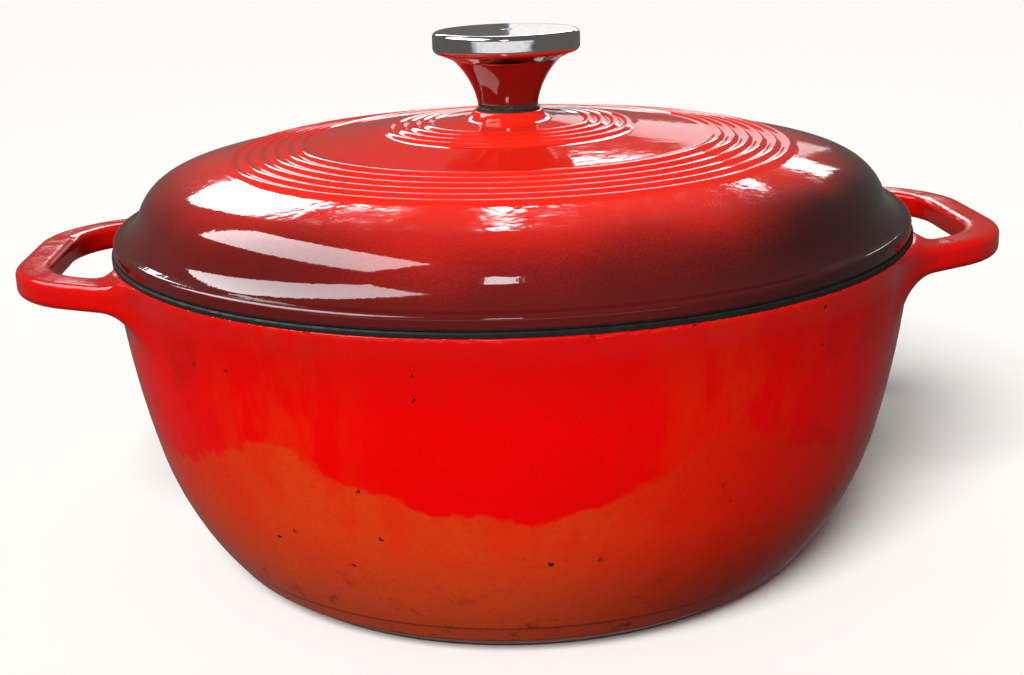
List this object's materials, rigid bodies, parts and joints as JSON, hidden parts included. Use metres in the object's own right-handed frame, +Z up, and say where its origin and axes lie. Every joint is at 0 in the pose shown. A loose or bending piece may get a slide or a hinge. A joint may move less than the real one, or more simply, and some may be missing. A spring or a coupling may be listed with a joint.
{
  "type": "cast iron dutch oven",
  "caption": "Round enamelled cast iron pot with two loop handles, and a domed ridged lid with a steel trumpet knob that lifts off.",
  "frame": {"origin": "centre of the foot ring's standing face", "axes": "+Z up, +X through a loop handle; the pot is symmetric, so +Y is either side"},
  "size_m": [0.3512, 0.2864, 0.1866],
  "materials": {
    "cast_iron": "bare grey iron",
    "red_enamel": "glossy, red fading to orange low down",
    "cream_enamel": "glossy",
    "black_enamel": "matte ground coat",
    "burgundy_enamel": "glossy, bright red centre to near black edge",
    "polished_steel": "mirror polished stainless steel",
    "brass": "machined",
    "gasket_rubber": "matte heat-proof",
    "screw_steel": "plain stainless"
  },
  "bodies": {
    "pot": {"pot_casting": "cast_iron", "pot_exterior_enamel": "red_enamel", "pot_interior_enamel": "cream_enamel", "pot_rim_enamel": "black_enamel", "pot_base_enamel": "black_enamel"},
    "lid": {"lid_casting": "cast_iron", "lid_exterior_enamel": "burgundy_enamel", "lid_interior_enamel": "cream_enamel", "lid_rim_enamel": "black_enamel", "knob": "polished_steel", "knob_insert": "brass", "knob_gasket": "gasket_rubber", "knob_screw": "screw_steel", "flat_washer": "screw_steel", "lock_washer": "screw_steel"}
  },
  "joints": [
    {"name": "lid_lift", "type": "slide", "parent": "pot", "child": "lid", "axis": [0, 0, 1], "range_m": [0, 0.15]}
  ]
}
